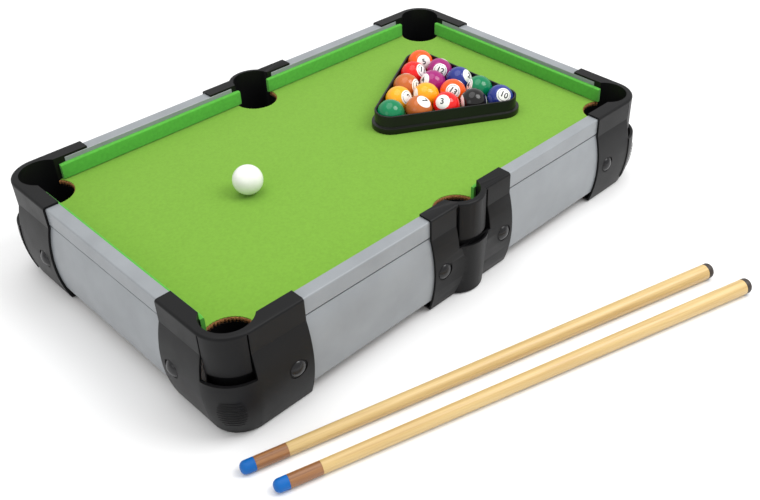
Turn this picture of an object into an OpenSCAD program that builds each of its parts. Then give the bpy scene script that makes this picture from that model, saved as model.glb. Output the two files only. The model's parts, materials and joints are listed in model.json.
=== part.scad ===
// Mini pool table: a low tray of grey rails and black corner castings round a felt bed,
// with sixteen balls, a triangular rack and two cues.
// Millimetres, +Z up. The origin is on the floor under the centre of the bed,
// +X runs along the length and +Y points away from the side where the cues lie.

/* [Table] */
// Length over the outer faces of the end rails
table_l = 510; // [490:1:530]
// Width over the outer faces of the long rails
table_w = 314; // [300:1:330]
// Height of the rail tops above the floor
rail_top_z = 96.5; // [94:0.5:99]
// Height of the playing surface above the floor
bed_z = 77.2; // [76:0.1:78]

/* [Rails] */
// Width of the flat top of a rail
rail_top_w = 12; // [11:0.5:13]
// Wall thickness of the rail moulding
rail_wall = 3; // [2:0.5:4]
// Height of the upright band at the top of a rail
band_h = 16; // [14:0.5:17]
// Depth of the groove under the band
groove_d = 3.5; // [2:0.5:4]
// Radius of the bulging lower part of a rail, seen end on
bulge_r = 119.4; // [115:0.1:130]
// How far the lower part bulges past the band
bulge_out = 4.9; // [4:0.1:5.2]
// Height of the lower edge of a rail above the floor
rail_bottom_z = 5; // [4.5:0.5:7]

/* [Bed] */
// Thickness of the fibreboard bed
board_t = 4.4; // [3:0.1:4.6]
// Thickness of the felt
felt_t = 0.8; // [0.5:0.1:1]
// Thickness of a cushion strip
cushion_t = 4; // [3.5:0.1:4.3]
// Gap between the top of a cushion and the top of the rail
cushion_drop = 4.2; // [3:0.1:5]

/* [Pockets] */
// Radius of a pocket
pocket_r = 20.5; // [20:0.1:20.6]
// Distance of a corner pocket's centre from the outer face of the end rail
corner_pocket_in_x = 25; // [24.5:0.1:25.5]
// Distance of a corner pocket's centre from the outer face of the long rail
corner_pocket_in_y = 25; // [24.5:0.1:25.5]
// Distance of a side pocket's centre from the outer face of the long rail
side_pocket_in = 16; // [15.5:0.1:16.5]
// Height of the floor of a pocket
pocket_floor_z = 8; // [6:0.5:12]

/* [Castings] */
// Wall thickness of the black castings
cast_t = 2; // [1.8:0.1:2.2]
// Outer radius of a corner casting, seen from above
corner_r = 28; // [27:0.5:28.5]
// Length of a corner casting along a long rail, from the outer face of the end rail
corner_arm_x = 73; // [70:1:76]
// Length of a corner casting along an end rail, from the outer face of the long rail
corner_arm_y = 75; // [72:1:78]
// Half length of a side casting
side_arm = 49.5; // [47:0.5:52]
// Half width of the window in front of a pocket wall
window_half = 20; // [19:0.5:20.5]
// Height of the rim of the ball cup in the window
cup_rim_z = 56; // [52:0.5:58]
// Height of the lower edge of the pocket wall in the window
shield_z = 61.5; // [60:0.5:64]

/* [Fixings] */
// Diameter of a domed bolt head
bolt_head_d = 15; // [14:0.5:16]
// Diameter of a bolt shank
bolt_d = 4; // [3:0.5:4]
// Height of the bolts above the floor
bolt_z = 42; // [38:1:46]
// Diameter of a rubber foot
foot_d = 17; // [14:1:18]
// Thickness of a rubber foot
foot_t = 1.5; // [1.5:0.1:1.8]

/* [Balls and rack] */
// Diameter of a ball
ball_d = 27; // [25:0.5:27]
// Distance between the centres of two racked balls
ball_pitch = 28.3; // [28:0.1:28.5]
// Position of the middle of the rack along the table
rack_x = 124.8; // [120:0.1:126]
// Position of the middle of the rack across the table
rack_y = 2.3; // [0:0.1:6]
// Turn of the rack about the vertical, with one side along the end rail
rack_turn = -30; // [-40:1:-20]
// Height of the rack
rack_h = 18; // [15:0.5:20]
// Position of the cue ball along the table
cue_ball_x = -109; // [-115:1:-80]
// Position of the cue ball across the table
cue_ball_y = 6.6; // [-20:0.1:20]

/* [Cues] */
// Length of a cue
cue_l = 450; // [430:5:460]
// Diameter of a cue at its ferrule
cue_tip_d = 10.6; // [9:0.2:12]
// Diameter of a cue at its butt
cue_butt_d = 14.2; // [13:0.2:16]
// Length of the blue tip
tip_l = 11; // [9:0.5:12]
// Length of the brown ferrule
ferrule_l = 25; // [20:1:30]
// Length of the butt cap
cap_l = 7; // [6:0.5:10]

/* [Hidden] */

$fn = 96;
eps = 0.01;
// overrun of a cut past the face it goes through
over = 1;
far = 400;
half_l = table_l / 2;
half_w = table_w / 2;

// colours
rail_grey = [0.57, 0.59, 0.60];
board_brown = [0.45, 0.30, 0.17];
felt_green = [0.48, 0.70, 0.26];
cushion_green = [0.33, 0.69, 0.28];
batten_tan = [0.78, 0.62, 0.40];
casting_black = [0.16, 0.16, 0.17];
bolt_black = [0.10, 0.10, 0.11];
zinc = [0.70, 0.70, 0.68];
rubber_black = [0.08, 0.08, 0.08];
rack_black = [0.05, 0.05, 0.06];
ball_white = [0.95, 0.95, 0.93];
blue_tip = [0.0, 0.40, 0.75];
brown_wood = [0.55, 0.33, 0.16];
pale_wood = [0.90, 0.76, 0.48];
cap_black = [0.14, 0.12, 0.11];

// rail section: u is measured outwards from the upright band's face
band_bottom_z = rail_top_z - band_h;
groove_h = 3;
groove_z = band_bottom_z - groove_h;
groove_ledge = 2.4;
bulge_z = 43.5;
edge_r = 1.5;
rail_tessellation = 240;
lip_t = 2;
lip_top_trim = 1;

// bed
board_top_z = bed_z - felt_t;
board_bottom_z = board_top_z - board_t;
play_half_x = half_l - rail_top_w;
play_half_y = half_w - rail_top_w + 0.1;
board_edge_gap = 0.1;
felt_edge_gap = 0.2;
hole_margin = 0.3;
hole_r = pocket_r + hole_margin;
cushion_gap = 0.4;
cushion_top_z = rail_top_z - cushion_drop;
cushion_end_x = 210.5;
cushion_end_y = 117;
cushion_mouth = 17.5;
cushion_face = 0.8;
cushion_back_gap = 0.15;

// rail ends, all hidden under the castings
rail_end_x = 212;
lip_gap = 0.3;
skirt_short = 12;
rail_end_y = 113;
rail_mouth = 30;
lip_end_x = 204;
lip_end_y = 108;
lip_mouth = 25;

// castings
plate_gap = 0.1;
plate_z = rail_top_z + plate_gap;
cast_top_z = plate_z + cast_t;
cast_out = cast_t + plate_gap;
cast_bulge_gap = 0.2;
cast_bulge_out = bulge_out + cast_bulge_gap - cast_out + cast_t;
cast_bulge_r = bulge_r + cast_bulge_gap + cast_t;
top_edge_r = 2.5;
skin_crease_z = 78;
corner_px = half_l - corner_pocket_in_x;
corner_py = half_w - corner_pocket_in_y;
side_py = half_w - side_pocket_in;
plate_w = rail_top_w + cast_t;
play_clear = 0.1;
liner_t = 2;
liner_lap = 0.5;
pedestal_drop = 1;
side_shield_r = 25.5;
land_half = 17;
wall_half = 16.8;
corner_base_r = 24.4;
cup_proud = 0.9;
cup_rise = 0.3;
cup_low_z = 8;
cup_side_angle = 1.5;
slot_angle = 2.5;
window_depth = 3;
side_cup_top_r = 28.3;
side_cup_low_r = 24;
window_from = 5;
window_to = 85;
window_side_from = 30;
base_plate_t = 2;
base_plate_w = 22;
skin_foot_in = 3.5;
cheek_t = 1.6;
cheek_depth = 6.5;
cheek_lap = 0.4;
wall_inset = 0.15;

// fixings
bolt_x = 197;
bolt_y = 95.5;
bolt_side_x = 38;
head_h = 3.6;
head_seat = 0.8;
seat_clear = 1;
seat_l = 10;
seat_gap = 0.02;
bolt_cut_in = 20;
bolt_len = 13;
nut_af = 7;
nut_h = 3;
nut_gap = 0.4;
hole_clear = 0.1;
foot_x = 206;
foot_y = 146.5;

// battens and braces
batten_w = 20;
batten_h = 14;
batten_past = 6;
batten_from_x = 27;
batten_to_x = 202;
end_batten_y = 104;
brace_w = 24;
brace_x = 110;
screw_d = 3;
screw_head_d = 6;
screw_head_h = 1.8;
screw_len = 14;
screw_in = 6;
long_screws_x = [45, 115, 185];
end_screws_y = [-70, 70];

// balls, rack and cues
ball_gap = 0.2;
rack_gap = 0.1;
rack_clear = 0.6;
rack_wall = 2;
rack_flange = 3.1;
rack_flange_h = 6;
rack_corner_steps = 16;
rack_order = [
    [6, 7, 3, 8, 10],
    [9, 1, 13, 14],
    [15, 4, 2],
    [11, 12],
    [5]
];
cue_1_tip_at = [-268.5, -181];
cue_2_tip_at = [-262, -211];
cue_1_turn = -16.4;
cue_2_turn = -17.2;
cue_floor_gap = 0.05;
tip_round = 4.5;
cap_round = 3;

// ---- shared shapes ----

// puts a section drawn in (u, z) along X, outward face towards +Y, from x = from to x = to
module along_x(from, to) {
    translate([to, 0, 0])
        rotate([90, 0, -90])
            linear_extrude(to - from)
                mirror([1, 0])
                    children();
}

// repeats children on each side of the table: sx and sy are -1 or 1
module at_side(sx, sy) {
    mirror([sx < 0 ? 1 : 0, 0, 0])
        mirror([0, sy < 0 ? 1 : 0, 0])
            children();
}

// ---- rails ----

module rail_band() {
    union() {
        translate([-rail_wall, band_bottom_z])
            square([rail_wall, rail_top_z - band_bottom_z - edge_r]);
        translate([-rail_top_w, rail_top_z - lip_t])
            square([rail_top_w - edge_r, lip_t]);
        translate([-edge_r, rail_top_z - edge_r])
            intersection() {
                circle(r = edge_r, $fn = 48);
                square(edge_r + eps);
            }
        translate([-rail_wall, rail_top_z - lip_t])
            square([rail_wall - edge_r, lip_t]);
        translate([-rail_wall, rail_top_z - edge_r - lip_t])
            square([rail_wall - edge_r, lip_t + edge_r]);
    }
}

module rail_groove() {
    translate([-groove_d - rail_wall, groove_z - rail_wall])
        square([rail_wall, band_bottom_z + rail_wall - groove_z + rail_wall]);
    translate([-groove_d - rail_wall, band_bottom_z])
        square([groove_d + rail_wall, rail_wall]);
    translate([-groove_d - rail_wall, groove_z - rail_wall])
        square([groove_d + rail_wall - groove_ledge, rail_wall]);
}

module rail_bulge() {
    intersection() {
        translate([bulge_out - bulge_r, bulge_z])
            difference() {
                circle(r = bulge_r, $fn = rail_tessellation);
                circle(r = bulge_r - rail_wall, $fn = rail_tessellation);
            }
        translate([-rail_top_w, rail_bottom_z])
            square([rail_top_w + bulge_out + over, groove_z - rail_bottom_z]);
    }
}

module rail_outer_section() {
    rail_band();
    rail_groove();
    rail_bulge();
}

module rail_lip_section() {
    translate([-rail_top_w, board_bottom_z])
        square([lip_t, rail_top_z - board_bottom_z - eps]);
    translate([-rail_top_w, rail_top_z - lip_t])
        square([rail_top_w - edge_r - lip_top_trim, lip_t]);
}

// a rail on the +Y side between two values of x, with its lip between two others
module rail_run(from, to, lip_from, lip_to) {
    intersection() {
        along_x(from, to)
            rail_outer_section();
        union() {
            translate([lip_from, -far, 0])
                cube([lip_to - lip_from, 2 * far, rail_top_z + over]);
            translate([from, -rail_wall - groove_d, 0])
                cube([to - from, far, rail_top_z + over]);
        }
    }
    along_x(lip_from, lip_to)
        rail_lip_section();
}

// a bolt hole across a wall on the +Y side
module bolt_hole(x) {
    translate([x, -far / 2, bolt_z])
        rotate([-90, 0, 0])
            cylinder(d = bolt_d + hole_clear, h = far);
}

module long_rail() {
    color(rail_grey)
        translate([0, half_w, 0])
            difference() {
                rail_run(rail_mouth, rail_end_x, lip_mouth, lip_end_x);
                bolt_hole(bolt_x);
                bolt_hole(bolt_side_x);
            }
}

module end_rail() {
    color(rail_grey)
        rotate([0, 0, -90])
            translate([0, half_l, 0])
                difference() {
                    rail_run(-rail_end_y, rail_end_y, -lip_end_y, lip_end_y);
                    bolt_hole(-bolt_y);
                    bolt_hole(bolt_y);
                }
}

// ---- bed ----

module pocket_holes(r, low, high) {
    for (sx = [-1, 1])
        for (sy = [-1, 1])
            translate([sx * corner_px, sy * corner_py, low])
                cylinder(r = r, h = high - low);
    for (sy = [-1, 1])
        translate([0, sy * side_py, low])
            cylinder(r = r, h = high - low);
}

module bed_slab(low, high, inset) {
    difference() {
        translate([inset - play_half_x, inset - play_half_y, low])
            cube([2 * (play_half_x - inset), 2 * (play_half_y - inset), high - low]);
        pocket_holes(hole_r, low - over, high + over);
    }
}

module bed_screw_places() {
    for (sx = [-1, 1]) {
        for (sy = [-1, 1])
            for (x = long_screws_x)
                translate([sx * x, sy * (play_half_y - screw_in), 0])
                    children();
        for (y = end_screws_y)
            translate([sx * (play_half_x - screw_in), y, 0])
                children();
    }
}

module bed_board() {
    color(board_brown)
        difference() {
            bed_slab(board_bottom_z, board_top_z, board_edge_gap);
            bed_screw_places()
                screw_shape(hole_clear);
        }
}

module bed_felt() {
    color(felt_green)
        bed_slab(board_top_z, bed_z, felt_edge_gap);
}

// countersunk screw, head flush with the top of the board
module screw_shape(clear) {
    r = (screw_d + clear) / 2;
    translate([0, 0, board_top_z - screw_len])
        cylinder(r = r, h = screw_len - eps);
    translate([0, 0, board_top_z - screw_head_h])
        cylinder(r1 = r, r2 = (screw_head_d + clear) / 2, h = screw_head_h);
}

module bed_screws() {
    color(zinc)
        bed_screw_places()
            screw_shape(0);
}

module batten(from, to, edge) {
    translate([from, edge - batten_w + batten_past, board_bottom_z - batten_h])
        cube([to - from, batten_w, batten_h]);
}

module long_battens() {
    color(batten_tan)
        difference() {
            for (sx = [-1, 1])
                for (sy = [-1, 1])
                    at_side(sx, sy)
                        batten(batten_from_x, batten_to_x, play_half_y);
            bed_screw_places()
                screw_shape(hole_clear);
        }
}

module end_battens() {
    color(batten_tan)
        difference() {
            for (sx = [-1, 1])
                rotate([0, 0, sx * 90])
                    batten(-end_batten_y, end_batten_y, play_half_x);
            bed_screw_places()
                screw_shape(hole_clear);
        }
}

module cross_braces() {
    brace_half = play_half_y - batten_w + batten_past;
    color(batten_tan)
        for (sx = [-1, 1])
            translate([sx * brace_x - brace_w / 2, -brace_half, board_bottom_z - batten_h])
                cube([brace_w, 2 * brace_half, batten_h]);
}

// a cushion strip on the +Y side, its back against the rail's lip
module cushion_strip(from, to, back) {
    low = bed_z + cushion_gap;
    color(cushion_green)
        translate([from, back - cushion_t, low])
            difference() {
                cube([to - from, cushion_t, cushion_top_z - low]);
                translate([-over, 0, cushion_top_z - low])
                    rotate([45, 0, 0])
                        cube([to - from + 2 * over, cushion_face, cushion_face]);
            }
}

module long_cushion() {
    cushion_strip(cushion_mouth, cushion_end_x, play_half_y - cushion_back_gap);
}

module end_cushion() {
    rotate([0, 0, -90])
        cushion_strip(-cushion_end_y, cushion_end_y, play_half_x - cushion_back_gap);
}

// ---- castings ----

// the quarter round along the outer top edge, and the upright below it down to a height
module upright_section(low) {
    translate([-cast_t, low])
        square([cast_t, cast_top_z - top_edge_r - low]);
    top_round_section();
}

module top_round_section() {
    translate([-top_edge_r, cast_top_z - top_edge_r])
        intersection() {
            circle(r = top_edge_r, $fn = 64);
            square(top_edge_r + over);
        }
}

// the bulging sheet between two depths inside its outer face
module bulge_section(depth_out, depth_in) {
    intersection() {
        translate([cast_bulge_out - cast_bulge_r, bulge_z])
            difference() {
                circle(r = cast_bulge_r - depth_out, $fn = rail_tessellation);
                circle(r = cast_bulge_r - depth_in, $fn = rail_tessellation);
            }
        translate([-2 * rail_top_w, foot_t])
            square([4 * rail_top_w, skin_crease_z - foot_t]);
    }
}

// skin section in (u, z), u measured outwards from the face of the upright skin
module skin_section() {
    upright_section(skin_crease_z - cast_t);
    bulge_section(0, cast_t);
}

module plate_section() {
    translate([-plate_w, plate_z])
        square([plate_w - top_edge_r, cast_t]);
}

module skin_and_plate() {
    skin_section();
    plate_section();
}

// section of the cheek at each side of a window, from inside the skin in to the liner
module cheek_section() {
    intersection() {
        bulge_section(cast_t / 4, 3 * cheek_depth);
        translate([-cheek_depth, foot_t])
            square([4 * cheek_depth, far]);
    }
    translate([-cheek_depth, skin_crease_z - cast_t])
        square([cheek_depth - cast_t / 4, plate_z + cast_t / 2 - skin_crease_z + cast_t]);
}

// the skin below the window, which carries on across it
module low_skin_section() {
    intersection() {
        bulge_section(0, cast_t);
        translate([-2 * rail_top_w, 0])
            square([4 * rail_top_w, cup_rim_z]);
    }
}

// the raised panel of a corner's ball cup, in front of the skin
module cup_panel_section() {
    intersection() {
        bulge_section(-cup_proud, cast_t / 2);
        translate([-2 * rail_top_w, cup_low_z])
            square([4 * rail_top_w, cup_rim_z + cup_rise - cup_low_z]);
    }
}

// section of the wall of a side pocket's ball cup
module cup_section(wall_r, low_r, top_r) {
    polygon([
        [low_r - cast_t - wall_r, foot_t],
        [low_r - wall_r, foot_t],
        [top_r - wall_r, cup_rim_z],
        [top_r - cast_t - wall_r, cup_rim_z]
    ]);
}

// everything inside the play area, above the bed, which a casting keeps clear of
module play_space() {
    reach_x = play_half_x + play_clear;
    reach_y = play_half_y + play_clear;
    translate([-reach_x, -reach_y, board_bottom_z - play_clear])
        cube([2 * reach_x, 2 * reach_y, far]);
}

// ball liner: a tube and its floor; the bore is cut later
module pocket_liner() {
    floor_z = pocket_floor_z - liner_t;
    translate([0, 0, floor_z])
        cylinder(r = pocket_r + liner_t, h = plate_z + liner_lap - floor_z);
}

module bolt_seat() {
    rotate([-90, 0, 0])
        cylinder(d = bolt_head_d + 2 * seat_clear, h = seat_l);
}

// seat and hole for the bolt at x on a skin whose bulge peaks at y
module bolt_cut(x, y) {
    translate([x, y - head_seat, bolt_z])
        bolt_seat();
    translate([x, y - bolt_cut_in, bolt_z])
        rotate([-90, 0, 0])
            cylinder(d = bolt_d + hole_clear, h = bolt_cut_in + seat_l);
}

// one stretch of the rounded corner
module corner_sector(from, to) {
    rotate([0, 0, from])
        rotate_extrude(angle = to - from)
            translate([corner_r, 0])
                children();
}

module rounded_corner() {
    difference() {
        corner_sector(0, 90)
            skin_and_plate();
        corner_sector(window_from, window_to)
            translate([-window_depth, cup_rim_z])
                square([2 * rail_top_w, plate_z - cup_rim_z]);
    }
    corner_sector(window_from + slot_angle, window_to - slot_angle)
        translate([-cast_t - wall_inset, shield_z])
            square([cast_t, plate_z + cast_t / 4 - shield_z]);
    corner_sector(window_from + cup_side_angle, window_to - cup_side_angle)
        cup_panel_section();
}

// corner casting on the +X +Y corner
module corner_casting() {
    out_x = half_l + cast_out;
    out_y = half_w + cast_out;
    cx = out_x - corner_r;
    cy = out_y - corner_r;
    from_x = half_l - corner_arm_x;
    from_y = half_w - corner_arm_y;
    color(casting_black)
        difference() {
            union() {
                translate([0, out_y, 0])
                    along_x(from_x, cx)
                        skin_and_plate();
                rotate([0, 0, -90])
                    translate([0, out_x, 0])
                        along_x(-cy, -from_y)
                            skin_and_plate();
                translate([cx, cy, 0])
                    rounded_corner();
                translate([corner_px, corner_py, 0])
                    pocket_liner();
                corner_base(from_x, from_y, out_x, out_y, cx, cy);
                corner_webs();
            }
            translate([corner_px, corner_py, pocket_floor_z])
                cylinder(r = pocket_r, h = far);
            play_space();
            bolt_cut(bolt_x, out_y + cast_bulge_out);
            rotate([0, 0, -90])
                bolt_cut(-bolt_y, out_x + cast_bulge_out);
        }
}

// base plate under a corner
module corner_base(from_x, from_y, out_x, out_y, cx, cy) {
    reach = base_plate_w - skin_foot_in;
    translate([from_x, out_y - base_plate_w, foot_t])
        cube([cx - from_x, reach, base_plate_t]);
    translate([out_x - base_plate_w, from_y, foot_t])
        cube([reach, cy - from_y, base_plate_t]);
    translate([cx, cy, foot_t])
        cylinder(r = corner_base_r, h = base_plate_t);
    pocket_pedestal(corner_px, corner_py);
}

// joins the pocket's floor to the base plate
module pocket_pedestal(x, y) {
    translate([x, y, foot_t])
        cylinder(r = pocket_r - liner_t, h = pocket_floor_z - foot_t - pedestal_drop);
}

// skirts that close the ends of the rails' lips beside a corner pocket
module corner_webs() {
    height = plate_z + liner_lap - board_bottom_z;
    translate([lip_end_x + lip_gap, play_half_y, board_bottom_z])
        cube([corner_px - lip_end_x - skirt_short, liner_t, height]);
    translate([play_half_x, lip_end_y + lip_gap, board_bottom_z])
        cube([liner_t, corner_py - lip_end_y - skirt_short, height]);
}

// side casting on the +Y side
module side_casting() {
    out_y = half_w + cast_out;
    color(casting_black)
        difference() {
            union() {
                for (sx = [0, 1])
                    mirror([sx, 0, 0])
                        side_wing(out_y);
                side_window();
                translate([0, side_py, 0])
                    pocket_liner();
                translate([-side_arm, out_y - base_plate_w, foot_t])
                    cube([2 * side_arm, base_plate_w - skin_foot_in, base_plate_t]);
                pocket_pedestal(0, side_py);
            }
            translate([0, side_py, pocket_floor_z])
                cylinder(r = pocket_r, h = far);
            play_space();
            bolt_cut(bolt_side_x, out_y + cast_bulge_out);
            bolt_cut(-bolt_side_x, out_y + cast_bulge_out);
        }
}

// the +X half of a side casting's flange, with its cheek and its skirt
module side_wing(out_y) {
    translate([0, out_y, 0]) {
        along_x(window_half, side_arm)
            skin_and_plate();
        along_x(window_half - cheek_lap, window_half + cheek_t)
            cheek_section();
        along_x(0, window_half)
            plate_section();
        along_x(land_half, window_half)
            top_round_section();
    }
    translate([pocket_r - liner_t, play_half_y, board_bottom_z])
        cube([lip_mouth - lip_gap - pocket_r + liner_t, liner_t, plate_z + liner_lap - board_bottom_z]);
}

// part of a section revolved round a side pocket, cut off at a half width
module side_revolved(half) {
    intersection() {
        translate([0, side_py, 0])
            rotate([0, 0, window_side_from])
                rotate_extrude(angle = 180 - 2 * window_side_from)
                    translate([side_shield_r, 0])
                        children();
        translate([-half, 0, 0])
            cube([2 * half, far, far]);
    }
}

// the round pocket wall, its top land and the ball cup in a side window
module side_window() {
    side_revolved(land_half)
        top_round_section();
    intersection() {
        translate([0, side_py, plate_z])
            cylinder(r = side_shield_r - top_edge_r, h = cast_t);
        translate([-land_half, side_py, 0])
            cube([2 * land_half, far, far]);
    }
    side_revolved(wall_half)
        translate([-cast_t - wall_inset, shield_z])
            square([cast_t, plate_z + cast_t / 4 - shield_z]);
    translate([0, half_w + cast_out, 0])
        along_x(-window_half, window_half)
            low_skin_section();
    side_revolved(window_half + cheek_lap)
        cup_section(side_shield_r, side_cup_low_r, side_cup_top_r);
    translate([0, side_py, foot_t])
        cylinder(r = side_cup_low_r - cast_t / 2, h = base_plate_t);
}

// ---- fixings ----

// places a child, drawn with its axis along +Y at the bulge's peak, at each bolt
module bolt_places() {
    for (sx = [-1, 1])
        for (sy = [-1, 1])
            at_side(sx, sy) {
                translate([bolt_x, half_w + cast_out + cast_bulge_out, bolt_z])
                    children();
                translate([bolt_side_x, half_w + cast_out + cast_bulge_out, bolt_z])
                    children();
                translate([half_l + cast_out + cast_bulge_out, bolt_y, bolt_z])
                    rotate([0, 0, -90])
                        children();
            }
}

// domed bolt, its head seated on the casting
module bolt() {
    dome_r = (head_h * head_h + bolt_head_d * bolt_head_d / 4) / (2 * head_h);
    rotate([-90, 0, 0]) {
        intersection() {
            translate([0, 0, head_h - head_seat - dome_r])
                sphere(r = dome_r);
            translate([0, 0, seat_gap - head_seat])
                cylinder(d = bolt_head_d, h = head_h + over);
        }
        translate([0, 0, -bolt_len])
            cylinder(d = bolt_d, h = bolt_len);
    }
}

module casting_bolts() {
    color(bolt_black)
        bolt_places()
            bolt();
}

module bolt_nuts() {
    back = bulge_out - rail_wall - nut_gap - nut_h - cast_out - cast_bulge_out;
    color(zinc)
        bolt_places()
            translate([0, back, 0])
                rotate([-90, 0, 0])
                    difference() {
                        cylinder(d = nut_af / cos(30), h = nut_h, $fn = 6);
                        translate([0, 0, -over])
                            cylinder(d = bolt_d + hole_clear, h = nut_h + 2 * over);
                    }
}

module rubber_feet() {
    color(rubber_black)
        for (sx = [-1, 1])
            for (sy = [-1, 1])
                translate([sx * foot_x, sy * foot_y, 0])
                    cylinder(d = foot_d, h = foot_t);
}

// ---- balls and rack ----

// where ball k of row r lies: row 0 is the long row, row 4 the single ball
function racked_at(r, k) = [
    ball_pitch * (k + r / 2 - 2),
    ball_pitch * (r * sqrt(3) / 2 - 2 / sqrt(3))
];

function unit(turn) = [cos(turn), sin(turn)];

module on_rack() {
    translate([rack_x, rack_y, 0])
        rotate([0, 0, rack_turn])
            children();
}

module racked_ball(number, tint) {
    color(tint)
        on_rack()
            for (r = [0:4])
                for (k = [0:4 - r])
                    if (rack_order[r][k] == number)
                        translate([racked_at(r, k)[0], racked_at(r, k)[1], 0])
                            lifted_ball();
}

module lifted_ball() {
    translate([0, 0, bed_z + ball_gap + ball_d / 2])
        sphere(d = ball_d);
}

module cue_ball() {
    color(ball_white)
        translate([cue_ball_x, cue_ball_y, 0])
            lifted_ball();
}

// an equilateral triangle through the outer ball centres, grown by r with round corners
module rack_outline(r) {
    corners = [racked_at(0, 0), racked_at(0, 4), racked_at(4, 0)];
    polygon([
        for (i = [0:2])
            for (step = [0:rack_corner_steps])
                corners[i] + r * unit(120 * i - 210 + 120 * step / rack_corner_steps)
    ]);
}

module rack() {
    inner_r = ball_d / 2 + rack_clear;
    outer_r = inner_r + rack_wall;
    low = bed_z + rack_gap;
    color(rack_black)
        on_rack()
            translate([0, 0, low])
                difference() {
                    union() {
                        linear_extrude(rack_h)
                            rack_outline(outer_r);
                        linear_extrude(rack_flange_h)
                            rack_outline(outer_r + rack_flange);
                    }
                    translate([0, 0, -over])
                        linear_extrude(rack_h + 2 * over)
                            rack_outline(inner_r);
                }
}

// ---- cues ----

// lays a cue drawn along +X, tip end at x = 0, on the floor along its lower edge
module lay_cue(at, turn) {
    lean = atan2((cue_butt_d - cue_tip_d) / 2, cue_l - tip_l - ferrule_l - cap_l);
    translate([at[0], at[1], cue_tip_d / 2 + cue_floor_gap])
        rotate([0, 0, turn])
            rotate([0, -lean, 0])
                rotate([0, 90, 0])
                    children();
}

// a turned end standing on z = 0, with the edge of its top rounded
module turned_end(r, l, edge) {
    rotate_extrude() {
        square([r, l - edge]);
        square([r - edge, l]);
        translate([r - edge, l - edge])
            intersection() {
                circle(r = edge, $fn = 64);
                square(edge + over);
            }
    }
}

module cue_tip() {
    translate([0, 0, tip_l])
        mirror([0, 0, 1])
            turned_end(cue_tip_d / 2, tip_l, tip_round);
}

module cue_ferrule() {
    translate([0, 0, tip_l])
        cylinder(d = cue_tip_d, h = ferrule_l);
}

module cue_shaft() {
    translate([0, 0, tip_l + ferrule_l])
        cylinder(d1 = cue_tip_d, d2 = cue_butt_d, h = cue_l - tip_l - ferrule_l - cap_l);
}

module cue_butt_cap() {
    translate([0, 0, cue_l - cap_l])
        turned_end(cue_butt_d / 2, cap_l, cap_round);
}

module cue_piece(tint, at, turn) {
    color(tint)
        lay_cue(at, turn)
            children();
}

// ---- drawing ----

bed_board();
bed_felt();
at_side(-1, -1) long_rail();  // front_left_rail
at_side(1, -1) long_rail();  // front_right_rail
at_side(-1, 1) long_rail();  // rear_left_rail
at_side(1, 1) long_rail();  // rear_right_rail
at_side(-1, 1) end_rail();  // left_end_rail
at_side(1, 1) end_rail();  // right_end_rail
at_side(-1, -1) long_cushion();  // front_left_cushion
at_side(1, -1) long_cushion();  // front_right_cushion
at_side(-1, 1) long_cushion();  // rear_left_cushion
at_side(1, 1) long_cushion();  // rear_right_cushion
at_side(-1, 1) end_cushion();  // left_end_cushion
at_side(1, 1) end_cushion();  // right_end_cushion
at_side(-1, -1) corner_casting();  // front_left_corner
at_side(1, -1) corner_casting();  // front_right_corner
at_side(-1, 1) corner_casting();  // rear_left_corner
at_side(1, 1) corner_casting();  // rear_right_corner
at_side(1, -1) side_casting();  // front_side_casting
at_side(1, 1) side_casting();  // rear_side_casting
casting_bolts();
bolt_nuts();
long_battens();
end_battens();
cross_braces();
bed_screws();
rubber_feet();
rack();
cue_ball();
racked_ball(1, "gold");  // ball_1
racked_ball(2, "navy");  // ball_2
racked_ball(3, "crimson");  // ball_3
racked_ball(4, "mediumvioletred");  // ball_4
racked_ball(5, "orangered");  // ball_5
racked_ball(6, "seagreen");  // ball_6
racked_ball(7, "peru");  // ball_7
racked_ball(8, "black");  // ball_8
racked_ball(9, "gold");  // ball_9
racked_ball(10, "navy");  // ball_10
racked_ball(11, "crimson");  // ball_11
racked_ball(12, "mediumvioletred");  // ball_12
racked_ball(13, "orangered");  // ball_13
racked_ball(14, "seagreen");  // ball_14
racked_ball(15, "peru");  // ball_15
cue_piece(blue_tip, cue_1_tip_at, cue_1_turn) cue_tip();  // cue_1_tip
cue_piece(brown_wood, cue_1_tip_at, cue_1_turn) cue_ferrule();  // cue_1_ferrule
cue_piece(pale_wood, cue_1_tip_at, cue_1_turn) cue_shaft();  // cue_1_shaft
cue_piece(cap_black, cue_1_tip_at, cue_1_turn) cue_butt_cap();  // cue_1_butt_cap
cue_piece(blue_tip, cue_2_tip_at, cue_2_turn) cue_tip();  // cue_2_tip
cue_piece(brown_wood, cue_2_tip_at, cue_2_turn) cue_ferrule();  // cue_2_ferrule
cue_piece(pale_wood, cue_2_tip_at, cue_2_turn) cue_shaft();  // cue_2_shaft
cue_piece(cap_black, cue_2_tip_at, cue_2_turn) cue_butt_cap();  // cue_2_butt_cap
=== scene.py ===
"""Looks of the mini pool table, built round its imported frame. Metres, +Z up, floor at z = 0."""

import functools
import json
import math
import random

import bmesh
import bpy
import numpy as np
from mathutils import Matrix, Vector, noise

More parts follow.
